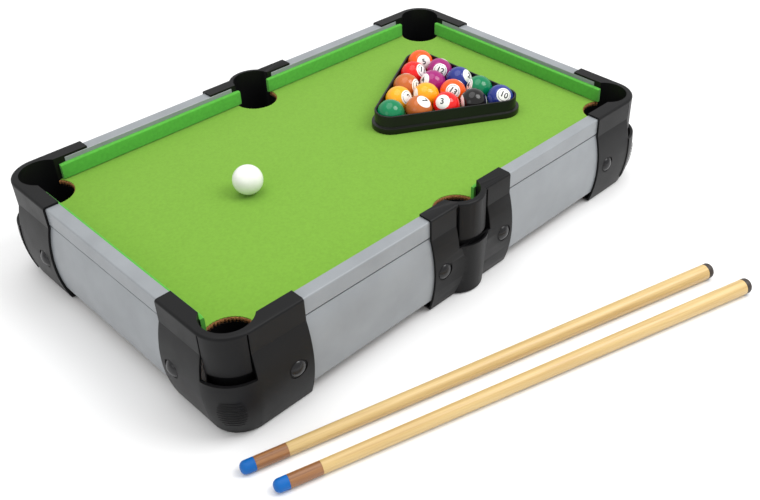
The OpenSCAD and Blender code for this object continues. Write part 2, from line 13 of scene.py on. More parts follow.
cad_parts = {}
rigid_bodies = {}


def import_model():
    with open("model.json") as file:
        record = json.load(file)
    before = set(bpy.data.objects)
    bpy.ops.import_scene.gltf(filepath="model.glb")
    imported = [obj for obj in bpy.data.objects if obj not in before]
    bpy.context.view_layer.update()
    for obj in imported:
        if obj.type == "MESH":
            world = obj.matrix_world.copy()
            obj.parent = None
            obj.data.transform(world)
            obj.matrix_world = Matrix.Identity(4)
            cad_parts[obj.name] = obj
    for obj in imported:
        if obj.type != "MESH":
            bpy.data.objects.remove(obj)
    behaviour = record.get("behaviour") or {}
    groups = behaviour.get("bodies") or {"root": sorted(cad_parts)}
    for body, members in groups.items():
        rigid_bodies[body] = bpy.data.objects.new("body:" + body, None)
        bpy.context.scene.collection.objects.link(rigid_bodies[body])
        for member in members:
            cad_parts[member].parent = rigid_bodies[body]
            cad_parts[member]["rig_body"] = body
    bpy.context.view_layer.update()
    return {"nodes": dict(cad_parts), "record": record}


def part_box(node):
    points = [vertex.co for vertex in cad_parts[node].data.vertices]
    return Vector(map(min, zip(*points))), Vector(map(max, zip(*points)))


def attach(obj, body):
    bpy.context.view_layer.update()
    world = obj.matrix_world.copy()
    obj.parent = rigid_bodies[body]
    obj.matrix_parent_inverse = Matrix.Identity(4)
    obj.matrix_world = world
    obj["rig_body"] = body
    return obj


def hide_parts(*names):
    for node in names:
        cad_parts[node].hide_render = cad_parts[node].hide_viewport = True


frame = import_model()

MM = 0.001


def add_object(name, data):
    made = bpy.data.objects.new(name, data)
    bpy.context.scene.collection.objects.link(made)
    return made


# ---------------------------------------------------------------- camera, light and floor

CAMERA_AZIMUTH = math.radians(47.91)
CAMERA_ELEVATION = math.radians(35.97)
CAMERA_ROLL = math.radians(1.05)
CAMERA_DISTANCE = 0.92051
CAMERA_TARGET = Vector((0.06909, -0.08419, 0))
CAMERA_LENS = 43.96
CAMERA_SHIFT = (-0.1068, -0.0396)

WORLD_STRENGTH = 0.8
LIGHTS = {  # position, aim, size, watts
    "key": ((0.55, -0.75, 1.25), (0, 0, 0), (0.9, 0.9), 12),
    "top": ((-0.1, 0.2, 1.5), (0, 0, 0), (1.6, 1.2), 9),
    "left_fill": ((-1.5, -0.2, 0.7), (0, 0, 0.05), (0.8, 0.8), 1.5),
}
FLOOR_HALF = 30


def camera_axes():
    """The camera's right, up and back directions in the frame."""
    flat = math.cos(CAMERA_ELEVATION)
    back = Vector((
        -math.sin(CAMERA_AZIMUTH) * flat,
        -math.cos(CAMERA_AZIMUTH) * flat,
        math.sin(CAMERA_ELEVATION),
    ))
    level = Vector((0, 0, 1)).cross(back).normalized()
    upright = back.cross(level)
    right = level * math.cos(CAMERA_ROLL) + upright * math.sin(CAMERA_ROLL)
    up = upright * math.cos(CAMERA_ROLL) - level * math.sin(CAMERA_ROLL)
    return right, up, back


def add_camera():
    right, up, back = camera_axes()
    data = bpy.data.cameras.new("camera")
    data.lens = CAMERA_LENS
    data.shift_x, data.shift_y = CAMERA_SHIFT
    data.clip_start = 0.01
    camera = add_object("camera", data)
    turn = Matrix((right, up, back)).transposed().to_4x4()
    camera.matrix_world = Matrix.Translation(CAMERA_TARGET + back * CAMERA_DISTANCE) @ turn
    bpy.context.scene.camera = camera


def add_world():
    world = bpy.data.worlds.new("studio")
    world.use_nodes = True
    background = world.node_tree.nodes["Background"]
    background.inputs["Color"].default_value = (1, 1, 1, 1)
    background.inputs["Strength"].default_value = WORLD_STRENGTH
    bpy.context.scene.world = world


def add_area_light(name, position, aim, size, watts):
    data = bpy.data.lights.new(name, "AREA")
    data.shape = "ELLIPSE"
    data.size, data.size_y = size
    data.energy = watts
    light = add_object(name, data)
    light.location = position
    light.rotation_mode = "QUATERNION"
    light.rotation_quaternion = (Vector(aim) - Vector(position)).to_track_quat("-Z", "Y")


def add_floor():
    half = FLOOR_HALF
    mesh = bpy.data.meshes.new("floor")
    corners = [(-half, -half, 0), (half, -half, 0), (half, half, 0), (-half, half, 0)]
    mesh.from_pydata(corners, [], [(0, 1, 2, 3)])
    floor = add_object("floor", mesh)
    mesh.materials.append(floor_material())


# ---------------------------------------------------------------- materials

PLASTICS = {  # colour, roughness, depth of the grain in mm, grain per metre, specular
    "grey_rail": ((0.255, 0.272, 0.288), 0.36, 0.01, 1600.0, 0.5),
    "black_plastic": ((0.0055, 0.0055, 0.006), 0.4, 0.05, 1300.0, 0.17),
    "bolt_black": ((0.005, 0.005, 0.006), 0.26, 0.01, 1600.0, 0.4),
    "foot_rubber": ((0.02, 0.02, 0.02), 0.8, 0.05, 900.0, 0.5),
    "rack_black": ((0.006, 0.006, 0.0055), 0.3, 0.015, 1600.0, 0.35),
    "tip_blue": ((0.0, 0.115, 0.42), 0.5, 0.03, 1200.0, 0.3),
    "cap_black": ((0.035, 0.025, 0.02), 0.5, 0.03, 1200.0, 0.5),
    "ink": ((0.02, 0.02, 0.025), 0.3, 0.005, 1600.0, 0.5),
}
WOODS = {  # dark, middle and light grain, roughness, weight of the varnish
    "batten_wood": ((0.36, 0.20, 0.08), (0.52, 0.33, 0.15), (0.66, 0.46, 0.24), 0.7, 0.0),
    "shaft_wood": ((0.50, 0.32, 0.12), (0.60, 0.42, 0.17), (0.68, 0.50, 0.22), 0.4, 0.2),
    "ferrule_wood": ((0.14, 0.055, 0.02), (0.27, 0.115, 0.04), (0.38, 0.18, 0.07), 0.4, 0.2),
}
HARDBOARD_FLECKS = [
    (0.3, (0.07, 0.025, 0.01)),
    (0.5, (0.26, 0.10, 0.03)),
    (0.72, (0.5, 0.24, 0.07)),
]
IVORY = (0.86, 0.86, 0.82)
BALL_TINTS = {
    "ball_yellow": (0.95, 0.40, 0.01),
    "ball_blue": (0.02, 0.035, 0.24),
    "ball_red": (0.80, 0.01, 0.01),
    "ball_purple": (0.33, 0.012, 0.16),
    "ball_orange": (0.92, 0.10, 0.006),
    "ball_green": (0.0, 0.20, 0.075),
    "ball_brown": (0.52, 0.13, 0.025),
    "ball_black": (0.008, 0.007, 0.007),
}
CAP_EDGE = (0.925 * 13.5 * MM, 0.935 * 13.5 * MM)  # from a ball's middle, along its cap axis


class Shader:
    """A principled material with a few short ways to add procedural detail."""

    def __init__(self, name, color, roughness):
        self.material = bpy.data.materials.new(name)
        self.material.use_nodes = True
        self.tree = self.material.node_tree
        self.bsdf = self.tree.nodes["Principled BSDF"]
        self.bsdf.inputs["Base Color"].default_value = (*color, 1)
        self.bsdf.inputs["Roughness"].default_value = roughness
        self.color = color
        self.coords = self.node("ShaderNodeTexCoord").outputs["Object"]

    def node(self, kind, **settings):
        made = self.tree.nodes.new(kind)
        for key, value in settings.items():
            setattr(made, key, value)
        return made

    def link(self, output, socket):
        self.tree.links.new(output, socket)

    def fixed(self, **values):
        """Sets shader sockets that are the same all over the surface."""
        for key, value in values.items():
            self.bsdf.inputs[key.replace("_", " ")].default_value = value

    def stretched(self, scale, turn):
        """Coordinates scaled by (x, y, z) after a turn about the vertical."""
        spin = self.node("ShaderNodeMapping")
        spin.inputs["Rotation"].default_value = (0, 0, turn)
        self.link(self.coords, spin.inputs["Vector"])
        grow = self.node("ShaderNodeMapping")
        grow.inputs["Scale"].default_value = scale
        self.link(spin.outputs["Vector"], grow.inputs["Vector"])
        return grow.outputs["Vector"]

    def noise(self, scale, detail=3.0, distortion=0.0, coords=None):
        texture = self.node("ShaderNodeTexNoise")
        texture.inputs["Scale"].default_value = scale
        texture.inputs["Detail"].default_value = detail
        texture.inputs["Distortion"].default_value = distortion
        self.link(coords or self.coords, texture.inputs["Vector"])
        return texture.outputs["Fac"]

    def ramp(self, fac, stops):
        """A colour ramp through (position, color) stops."""
        ramp = self.node("ShaderNodeValToRGB")
        elements = ramp.color_ramp.elements
        while len(elements) < len(stops):
            elements.new(0.5)
        for element, (position, color) in zip(elements, stops):
            element.position = position
            element.color = (*color, 1)
        self.link(fac, ramp.inputs["Fac"])
        return ramp.outputs["Color"]

    def shades(self, fac, low, high):
        """The material's colour between two brightnesses of itself."""
        dark = tuple(c * low for c in self.color)
        light = tuple(min(1, c * high) for c in self.color)
        return self.ramp(fac, [(0.3, dark), (0.7, light)])

    def paint(self, color_output):
        self.link(color_output, self.bsdf.inputs["Base Color"])

    def vary_color(self, fac, low, high):
        self.paint(self.shades(fac, low, high))

    def vary_roughness(self, fac, low, high):
        change = self.node("ShaderNodeMapRange")
        change.inputs["To Min"].default_value = low
        change.inputs["To Max"].default_value = high
        self.link(fac, change.inputs["Value"])
        self.link(change.outputs["Result"], self.bsdf.inputs["Roughness"])

    def bump(self, fac, depth_mm, strength=1.0):
        relief = self.node("ShaderNodeBump")
        relief.inputs["Strength"].default_value = strength
        relief.inputs["Distance"].default_value = depth_mm * MM
        self.link(fac, relief.inputs["Height"])
        self.link(relief.outputs["Normal"], self.bsdf.inputs["Normal"])


def floor_material():
    made = Shader("studio_floor", (0.9, 0.9, 0.9), 0.9)
    made.vary_color(made.noise(3.0), 0.995, 1.005)
    return made.material


def plastic_material(name):
    """Moulded plastic: a fine grain, and patches that are a little duller."""
    color, roughness, grain_mm, grain_scale, specular = PLASTICS[name]
    made = Shader(name, color, roughness)
    made.fixed(Specular_IOR_Level=specular)
    made.vary_color(made.noise(35.0, 4.0), 0.93, 1.07)
    made.vary_roughness(made.noise(60.0, 5.0), roughness - 0.06, roughness + 0.08)
    made.bump(made.noise(grain_scale, 2.0), grain_mm)
    return made.material


def felt_material():
    made = Shader("felt", (0.165, 0.345, 0.034), 0.95)
    made.fixed(Sheen_Weight=0.15, Sheen_Roughness=0.5, Specular_IOR_Level=0.1)
    made.vary_color(made.noise(420.0, 6.0), 0.94, 1.06)
    made.bump(made.noise(1900.0, 4.0, 1.5), 0.12, 0.7)
    return made.material


def cushion_material():
    made = Shader("cushion_cloth", (0.088, 0.40, 0.045), 0.9)
    made.fixed(Sheen_Weight=0.15, Sheen_Roughness=0.5, Specular_IOR_Level=0.15)
    made.vary_color(made.noise(300.0, 5.0), 0.92, 1.08)
    made.bump(made.noise(2200.0, 3.0, 0.8), 0.08, 0.6)
    return made.material


def hardboard_material():
    made = Shader("hardboard", (0.30, 0.12, 0.04), 0.9)
    flecks = made.noise(900.0, 5.0, 1.0)
    made.paint(made.ramp(flecks, HARDBOARD_FLECKS))
    made.bump(flecks, 0.4)
    return made.material


def wood_material(name, wood, turn=0.0):
    """Wood with its grain along a direction in the floor plane."""
    dark, middle, light, roughness, varnish = WOODS[wood]
    made = Shader(name, middle, roughness)
    made.fixed(Coat_Weight=varnish, Coat_Roughness=0.25)
    grain = made.noise(1.0, 6.0, 0.6, made.stretched((12.0, 420.0, 420.0), -turn))
    made.paint(made.ramp(grain, [(0.25, dark), (0.5, middle), (0.75, light)]))
    pores = made.noise(1.0, 3.0, 0.2, made.stretched((60.0, 2600.0, 2600.0), -turn))
    made.bump(pores, 0.03, 0.5)
    return made.material


def steel_material():
    made = Shader("zinc_steel", (0.55, 0.55, 0.53), 0.35)
    made.fixed(Metallic=1.0)
    made.vary_color(made.noise(200.0), 0.85, 1.1)
    made.bump(made.noise(1500.0), 0.02)
    return made.material


def ball_material(name, color, cap_axis=None):
    """Cast resin; a striped ball has a white cap at each end of one axis through its centre."""
    made = Shader(name, color, 0.12)
    made.fixed(Coat_Weight=0.25, Coat_Roughness=0.04, Specular_IOR_Level=0.3)
    paint = made.shades(made.noise(110.0, 3.0), 0.94, 1.05)
    if cap_axis is not None:
        along = made.node("ShaderNodeVectorMath", operation="DOT_PRODUCT")
        along.inputs[1].default_value = cap_axis
        made.link(made.coords, along.inputs[0])
        reach = made.node("ShaderNodeMath", operation="ABSOLUTE")
        made.link(along.outputs["Value"], reach.inputs[0])
        cap = made.node("ShaderNodeMapRange")
        cap.inputs["From Min"].default_value, cap.inputs["From Max"].default_value = CAP_EDGE
        made.link(reach.outputs["Value"], cap.inputs["Value"])
        mix = made.node("ShaderNodeMix", data_type="RGBA")
        made.link(cap.outputs["Result"], mix.inputs["Factor"])
        made.link(paint, mix.inputs[6])
        mix.inputs[7].default_value = (*IVORY, 1)
        paint = mix.outputs[2]
    made.paint(paint)
    made.vary_roughness(made.noise(260.0, 6.0), 0.08, 0.2)
    made.bump(made.noise(500.0, 3.0), 0.01, 0.4)
    return made.material


@functools.cache
def material(slot):
    """The material of a record slot, made once."""
    if slot in PLASTICS:
        return plastic_material(slot)
    makers = {
        "felt": felt_material,
        "cushion_cloth": cushion_material,
        "hardboard": hardboard_material,
        "zinc_steel": steel_material,
        "batten_wood": lambda: wood_material("batten_wood", "batten_wood"),
        "ball_white": lambda: ball_material("ball_white", IVORY),
    }
    return makers[slot]()


# ---------------------------------------------------------------- making pieces

WELD = 2e-6
FLAT_ANGLE = math.radians(0.4)
EDGE_ANGLE = math.radians(32)
THINNEST_RING = 1e-7


def slot_of_node(node):
    parts = frame["record"]["subparts"]
    return next(part["material_slot"] for part in parts if part["node"] == node)


def link_piece(mesh, node, skins=None, at=(0, 0, 0), stands_in=True):
    """Links a mesh on a CAD node's body and slot, as a rule to stand in for the node."""
    slot = slot_of_node(node)
    piece = add_object(mesh.name, mesh)
    piece.location = at
    for skin in skins or [material(slot)]:
        mesh.materials.append(skin)
    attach(piece, frame["nodes"][node]["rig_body"])
    if stands_in:
        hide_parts(node)
    return piece


def smooth(mesh, sharp_degrees):
    """Smooth shading, with edges sharper than an angle kept crisp."""
    for polygon in mesh.polygons:
        polygon.use_smooth = True
    mesh.set_sharp_from_angle(angle=math.radians(sharp_degrees))


def face_outwards(work):
    bmesh.ops.recalc_face_normals(work, faces=work.faces)


def smooth_mesh(work, name, sharp_degrees):
    """A finished mesh out of a bmesh, which is freed."""
    mesh = bpy.data.meshes.new(name)
    work.to_mesh(mesh)
    work.free()
    smooth(mesh, sharp_degrees)
    return mesh


def mesh_of_curve(data):
    """The mesh of a curve or a text, made through an object that is removed again."""
    holder = add_object(data.name, data)
    bpy.context.view_layer.update()
    graph = bpy.context.evaluated_depsgraph_get()
    mesh = bpy.data.meshes.new_from_object(holder.evaluated_get(graph))
    bpy.data.objects.remove(holder)
    return mesh


def arc(x, y, radius, start, end, steps):
    """Points of a rounded corner about (x, y), between two angles in degrees."""
    turns = [math.radians(start + (end - start) * i / steps) for i in range(steps + 1)]
    return [(x + radius * math.cos(t), y + radius * math.sin(t)) for t in turns]


def loft(work, rings):
    """Joins rings of vertices into one closed skin, with a face on the first and the last."""
    for a, b in zip(rings, rings[1:]):
        for k in range(len(a)):
            n = (k + 1) % len(a)
            work.faces.new((a[k], a[n], b[n], b[k]))
    work.faces.new(rings[0])
    work.faces.new(rings[-1])


def turned(work, profile, segments, place=Matrix.Identity(4)):
    """Turns (distance along the axis, radius) points about an axis; the faces, band by band."""
    rows = []
    for distance, radius in profile:
        turns = [2 * math.pi * k / segments for k in range(segments)]
        rows.append([
            work.verts.new(place @ Vector((radius * math.cos(t), radius * math.sin(t), distance)))
            for t in (turns if radius > THINNEST_RING else [0.0])
        ])
    bands = []
    for a, b in zip(rows, rows[1:]):
        band = []
        for k in range(segments):
            n = (k + 1) % segments
            corners = [a[k % len(a)], b[k % len(b)], b[n % len(b)], a[n % len(a)]]
            band.append(work.faces.new(list(dict.fromkeys(corners))))
        bands.append(band)
    face_outwards(work)
    return bands


def add_shell(node, edge_mm):
    """A copy of a CAD node's mesh with cleaned faces and rounded edges."""
    mesh = frame["nodes"][node].data.copy()
    mesh.name = node + "_shell"
    mesh.materials.clear()
    work = bmesh.new()
    work.from_mesh(mesh)
    bmesh.ops.remove_doubles(work, verts=work.verts, dist=WELD)
    bmesh.ops.dissolve_limit(
        work, angle_limit=FLAT_ANGLE, verts=work.verts, edges=work.edges, delimit={"NORMAL"})
    sharp = [
        e for e in work.edges
        if len(e.link_faces) == 2 and e.calc_face_angle(0) > EDGE_ANGLE
    ]
    bmesh.ops.bevel(
        work, geom=sharp, offset=edge_mm * MM, offset_type="OFFSET", segments=2,
        profile=0.5, affect="EDGES", clamp_overlap=True)
    work.to_mesh(mesh)
    work.free()
    if "custom_normal" in mesh.attributes:
        mesh.attributes.remove(mesh.attributes["custom_normal"])
    smooth(mesh, 35)
    link_piece(mesh, node)


# ---------------------------------------------------------------- strips along the table's edge

def strip_axes(low, high):
    """A strip's long axis, its cross axis, its side of the table, and how far out it reaches."""
    along = 0 if high.x - low.x > high.y - low.y else 1
    across = 1 - along
    side = 1 if low[across] + high[across] > 0 else -1
    return along, across, side, high[across] if side > 0 else -low[across]


def strip_ring(work, along, side, at, outline):
    """A ring of vertices across a strip; outline is in (distance from the table's middle, up)."""
    ring = []
    for out, z in outline:
        place = [0.0, 0.0, z]
        place[along] = at
        place[1 - along] = side * out
        ring.append(work.verts.new(place))
    return ring


# ---------------------------------------------------------------- rails

RAIL_WALL = 3 * MM
RAIL_EDGE = 0.4 * MM
RAIL_TOP_WIDTH = 12 * MM
RAIL_TOP_ROUND = 1.5 * MM
BAND_BOTTOM = 80.5 * MM
GROOVE_BOTTOM = 79.1 * MM
GROOVE_DEPTH = 3.5 * MM
BAND_BACK = GROOVE_DEPTH + RAIL_WALL
BULGE_RADIUS = 119.4 * MM
BULGE_Z = 43.5 * MM
BULGE_OUT = 4.9 * MM
BULGE_STEPS = 48
LIP_THICKNESS = 2 * MM


def rail_outline(bottom, top):
    """A rail's section in (outwards, up), counter-clockwise, from its lowest outer edge."""
    def bulge(z, radius):
        return BULGE_OUT - BULGE_RADIUS + math.sqrt(radius ** 2 - (z - BULGE_Z) ** 2)

    step = (GROOVE_BOTTOM - bottom) / BULGE_STEPS
    heights = [bottom + step * i for i in range(BULGE_STEPS + 1)]
    inner_top = GROOVE_BOTTOM - RAIL_WALL
    return [
        *((bulge(z, BULGE_RADIUS), z) for z in heights),
        (-GROOVE_DEPTH, GROOVE_BOTTOM),
        (-GROOVE_DEPTH, BAND_BOTTOM),
        (-RAIL_EDGE, BAND_BOTTOM),
        (0.0, BAND_BOTTOM + RAIL_EDGE),
        *arc(-RAIL_TOP_ROUND, top - RAIL_TOP_ROUND, RAIL_TOP_ROUND, 0, 90, 8),
        (-BAND_BACK, top),
        (-BAND_BACK, inner_top),
        *((bulge(z, BULGE_RADIUS - RAIL_WALL), z) for z in reversed(heights) if z < inner_top),
    ]


def lip_outline(bottom, top):
    """The section of a rail's flat inner top and of the lip that its cushion backs on to."""
    return [
        (-BAND_BACK, top),
        (RAIL_EDGE - RAIL_TOP_WIDTH, top),
        (-RAIL_TOP_WIDTH, top - RAIL_EDGE),
        (-RAIL_TOP_WIDTH, bottom),
        (LIP_THICKNESS - RAIL_TOP_WIDTH, bottom),
        (LIP_THICKNESS - RAIL_TOP_WIDTH, top - LIP_THICKNESS),
        (-BAND_BACK, top - LIP_THICKNESS),
    ]


def add_rail(node):
    """A swept rail with finely stepped curves, and its lip, each as long as in the CAD node."""
    low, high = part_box(node)
    along, across, side, reach = strip_axes(low, high)
    face = reach - BULGE_OUT
    lip_line = face - RAIL_TOP_WIDTH + LIP_THICKNESS / 2
    corners = [v.co for v in frame["nodes"][node].data.vertices]
    strips = (
        (rail_outline, [v for v in corners if side * v[across] > face]),
        (lip_outline, [v for v in corners if side * v[across] < lip_line]),
    )
    work = bmesh.new()
    for section, points in strips:
        outline = section(min(v.z for v in points), high.z)
        outline = [(face + out, z) for out, z in outline]
        ends = min(v[along] for v in points), max(v[along] for v in points)
        loft(work, [strip_ring(work, along, side, at, outline) for at in ends])
    face_outwards(work)
    link_piece(smooth_mesh(work, node + "_moulding", 30), node)


# ---------------------------------------------------------------- bed

POCKET_ORDER = (
    "front_left_pocket", "front_side_pocket", "front_right_pocket",
    "rear_right_pocket", "rear_side_pocket", "rear_left_pocket",
)
HOLE_RADIUS = 20.8 * MM
FELT_BACK = 0.6 * MM
BOARD_TOOTH = 0.9 * MM
FELT_TOOTH = 0.5 * MM
HOLE_TEETH = 46
TOOTH_SHAPE = (0.0, 0.7, 1.0, 0.25)


def pocket_centres():
    """Middles of the pockets, counter-clockwise from the front left one, from the record."""
    boxes = {o["name"]: o["box_m"] for o in frame["record"]["physics"]["openings"]}
    return [
        Vector([(boxes[name][0][i] + boxes[name][1][i]) / 2 for i in (0, 1)])
        for name in POCKET_ORDER
    ]


def ragged_arc(centre, radius, tooth, low, high, seed):
    """The part of a rough-sawn hole's edge that lies on a sheet, clockwise about the hole."""
    dice = random.Random(seed)
    steps = HOLE_TEETH * len(TOOTH_SHAPE)
    edge = []
    for i in range(steps):
        turn = -2 * math.pi * i / steps
        saw = TOOTH_SHAPE[i % len(TOOTH_SHAPE)]
        r = radius + tooth * (saw * dice.uniform(0.4, 1.2) - 0.4)
        edge.append(Vector((centre.x + r * math.cos(turn), centre.y + r * math.sin(turn))))
    inside = [low.x < p.x < high.x and low.y < p.y < high.y for p in edge]
    first = next(i for i in range(steps) if inside[i] and not inside[i - 1])
    on_sheet = []
    for i in range(first - 1, first + steps):
        p = edge[i % steps]
        on_sheet.append((min(max(p.x, low.x), high.x), min(max(p.y, low.y), high.y)))
        if i >= first and not inside[i % steps]:
            break
    return on_sheet


def add_sheet(node, name, hole_radius, tooth, seed):
    """A flat sheet that fills a CAD node's box, less its six holes; and its flat area."""
    low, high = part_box(node)
    outline = []
    for i, centre in enumerate(pocket_centres()):
        outline += ragged_arc(centre, hole_radius, tooth, low, high, seed + i)
    area = abs(sum(
        x1 * y2 - x2 * y1 for (x1, y1), (x2, y2) in zip(outline, outline[1:] + outline[:1]))) / 2
    data = bpy.data.curves.new(name, "CURVE")
    data.dimensions = "2D"
    data.fill_mode = "BOTH"
    data.extrude = (high.z - low.z) / 2
    spline = data.splines.new("POLY")
    spline.points.add(len(outline) - 1)
    spline.use_cyclic_u = True
    for point, (x, y) in zip(spline.points, outline):
        point.co = (x, y, 0, 1)
    mesh = mesh_of_curve(data)
    mesh.name = name
    mesh.materials.clear()
    work = bmesh.new()
    work.from_mesh(mesh)
    bmesh.ops.remove_doubles(work, verts=work.verts, dist=1e-6)
    bmesh.ops.translate(work, verts=work.verts, vec=(0, 0, (low.z + high.z) / 2))
    face_outwards(work)
    work.to_mesh(mesh)
    work.free()
    return link_piece(mesh, node), area


def add_bed():
    board, _ = add_sheet("bed_board", "board_sheet", HOLE_RADIUS, BOARD_TOOTH, 10)
    felt, area = add_sheet("bed_felt", "felt_sheet", HOLE_RADIUS + FELT_BACK, FELT_TOOTH, 30)


# ---------------------------------------------------------------- cushions

CUSHION_SIDES = ("front_left", "front_right", "rear_left", "rear_right", "left_end", "right_end")
NOSE_BACK = 0.1 * MM
NOSE_ROUND_LOW = 1.0 * MM
NOSE_ROUND_TOP = 1.3 * MM
CUSHION_STEP = 4 * MM
FEWEST_STEPS = 24
TUCK = 0.5 * MM
TUCK_LENGTH = 1.5 * MM
CLOTH_WAVE = 0.09 * MM
WAVES_ALONG = 40
WAVES_UP = 90
WAVE_SEED = 7.3


def cushion_section(width, height):
    """Outline of a strip in (depth, height), with its two front edges rounded; 0 is its back."""
    low, top = NOSE_ROUND_LOW, NOSE_ROUND_TOP
    return [
        (0.0, 0.0),
        *arc(width - low, low, low, -90, 0, 6),
        *arc(width - top, height - top, top, 0, 90, 6),
        (0.0, height),
    ]


def add_cushion(node, seed):
    """A cloth-covered strip: tucked in at its ends, and its nose a little uneven."""
    low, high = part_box(node)
    along, across, side, reach = strip_axes(low, high)
    width = high[across] - low[across] - NOSE_BACK
    height = high.z - low.z
    length = high[along] - low[along]
    section = cushion_section(width, height)
    steps = max(FEWEST_STEPS, int(length / CUSHION_STEP))
    work = bmesh.new()
    rings = []
    for i in range(steps + 1):
        t = i / steps
        from_end = min(t, 1 - t) * length
        tuck = TUCK * max(0.0, 1 - from_end / TUCK_LENGTH) ** 2
        outline = []
        for depth, z in section:
            spot = Vector((t * length * WAVES_ALONG, z * WAVES_UP, seed * WAVE_SEED))
            wave = abs(noise.noise(spot)) * CLOTH_WAVE
            back = tuck + wave if depth > width / 2 else 0.0
            drop = tuck if z > height / 2 else 0.0
            outline.append((reach - depth + back, low.z + z - drop))
        rings.append(strip_ring(work, along, side, low[along] + t * length, outline))
    loft(work, rings)
    face_outwards(work)
    name = node.replace("cushion", "cushion_strip")
    strip = link_piece(smooth_mesh(work, name, 50), node)


# ---------------------------------------------------------------- grip ribs on the corner cups

CORNER_AXIS_IN = 33.0 * MM
CUP_RADIUS = 28.9 * MM
CUP_BULGE_RADIUS = 122.5 * MM
CUP_BULGE_OUT = 5.0 * MM
RIBS = 9
RIB_LOWEST = 16.0 * MM
RIB_PITCH = 3.0 * MM
RIB_HALF_HEIGHT = 0.5 * MM
RIB_FOOT = -0.25 * MM
RIB_CREST = 0.28 * MM
RIB_END = -0.04 * MM
RIB_STEPS = 20


def add_cup_ribs(node):
    """Fine level ribs moulded on the front of a corner's ball cup, in one piece of mesh."""
    low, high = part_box(node)
    sx = 1 if low.x + high.x > 0 else -1
    sy = 1 if low.y + high.y > 0 else -1
    axis_x = sx * (max(abs(low.x), abs(high.x)) - CORNER_AXIS_IN)
    axis_y = sy * (max(abs(low.y), abs(high.y)) - CORNER_AXIS_IN)
    work = bmesh.new()
    for i in range(RIBS):
        z = RIB_LOWEST + RIB_PITCH * i
        half = math.radians(20 - 0.35 * (i - RIBS // 2) ** 2)
        drop = CUP_BULGE_RADIUS - math.sqrt(CUP_BULGE_RADIUS ** 2 - (z - BULGE_Z) ** 2)
        surface = CUP_RADIUS + CUP_BULGE_OUT - drop
        rings = []
        for k in range(RIB_STEPS + 1):
            turn = math.pi / 4 + half * (2 * k / RIB_STEPS - 1)
            fade = math.sin(math.pi * k / RIB_STEPS) ** 0.35 if 0 < k < RIB_STEPS else 0.0
            section = (
                (RIB_FOOT, -RIB_HALF_HEIGHT),
                (RIB_CREST * fade + RIB_END, 0.0),
                (RIB_FOOT, RIB_HALF_HEIGHT),
            )
            rings.append([
                work.verts.new((
                    axis_x + sx * (surface + out) * math.cos(turn),
                    axis_y + sy * (surface + out) * math.sin(turn),
                    z + lift,
                ))
                for out, lift in section
            ])
        loft(work, rings)
    face_outwards(work)
    link_piece(smooth_mesh(work, node + "_cup_ribs", 80), node, stands_in=False)


# ---------------------------------------------------------------- balls

BALL_SEGMENTS = 64
BALL_BAND = 5.6
BALL_INSET = 0.9985
DISC_ANGLE = 33.0
RING_INNER = 25.0
RING_OUTER = 27.0
DIGIT_HEIGHT = 0.62
DIGIT_WEIGHT = 0.028
DIGIT_FACET = 0.09
DIGIT_PROUD = 0.03 * MM
BALL_SHOW = {  # where the number shows from the camera: right, up, and its lean in degrees
    1: (-0.93, 0.02, -20),
    2: (0.78, 0.22, 20),
    3: (-0.30, 0.18, 0),
    4: (-0.74, 0.14, 0),
    5: (0.34, -0.10, -15),
    6: (0.25, -0.90, 0),
    7: (0.46, 0.55, 60),
    8: (-0.97, -0.10, 10),
    9: (0.74, 0.08, 10),
    10: (0.26, 0.10, 25),
    11: (0.76, 0.22, 20),
    12: (0.08, -0.12, 25),
    13: (0.02, -0.05, 35),
    14: (-0.90, 0.20, 0),
    15: (0.88, -0.02, 0),
}


def ball_facing(x, y, lean):
    """Turn that points a ball's number (its own +Z) at the camera's side, leaning clockwise."""
    right, up, back = camera_axes()
    out = (right * x + up * y + back * math.sqrt(max(0.0, 1 - x * x - y * y))).normalized()
    number_up = (up - out * up.dot(out)).normalized()
    number_right = number_up.cross(out)
    turn = Matrix((number_right, number_up, out)).transposed()
    return turn @ Matrix.Rotation(math.radians(-lean), 3, "Z")


def ring_angles(striped):
    """Polar angles of a ball's rings of vertices, with one at each edge of its number discs."""
    marks = [0.0, RING_INNER, RING_OUTER, DISC_ANGLE] if striped else [0.0, DISC_ANGLE]
    marks += [180 - m for m in reversed(marks)]
    angles = []
    for a, b in zip(marks, marks[1:]):
        steps = max(1, round((b - a) / BALL_BAND))
        angles += [a + (b - a) * i / steps for i in range(steps)]
    return angles + [180.0]


def add_digits(work, text, radius, side):
    """Lays a number on a ball's disc as a thin printed layer that follows the ball."""
    data = bpy.data.curves.new("digits", "FONT")
    data.body = text
    data.align_x = "CENTER"
    data.align_y = "CENTER"
    data.size = radius * DIGIT_HEIGHT
    data.extrude = DIGIT_PROUD
    data.offset = DIGIT_WEIGHT * data.size
    ink = bmesh.new()
    ink.from_mesh(mesh_of_curve(data))
    bmesh.ops.remove_doubles(ink, verts=ink.verts, dist=1e-7)
    bmesh.ops.triangulate(ink, faces=ink.faces)
    for _ in range(4):
        long_edges = [e for e in ink.edges if e.calc_length() > DIGIT_FACET * radius]
        if not long_edges:
            break
        bmesh.ops.subdivide_edges(ink, edges=long_edges, cuts=1)
        bmesh.ops.triangulate(ink, faces=ink.faces)
    made = {}
    for v in ink.verts:
        reach = radius + v.co.z + DIGIT_PROUD * 0.2
        x, y = v.co.x * side, v.co.y
        z = math.sqrt(max(1e-12, radius * radius - x * x - y * y)) * side
        made[v] = work.verts.new(Vector((x, y, z)).normalized() * reach)
    for f in ink.faces:
        corners = [made[v] for v in f.verts]
        if work.faces.get(corners) is None:
            work.faces.new(corners).material_index = 2
    ink.free()


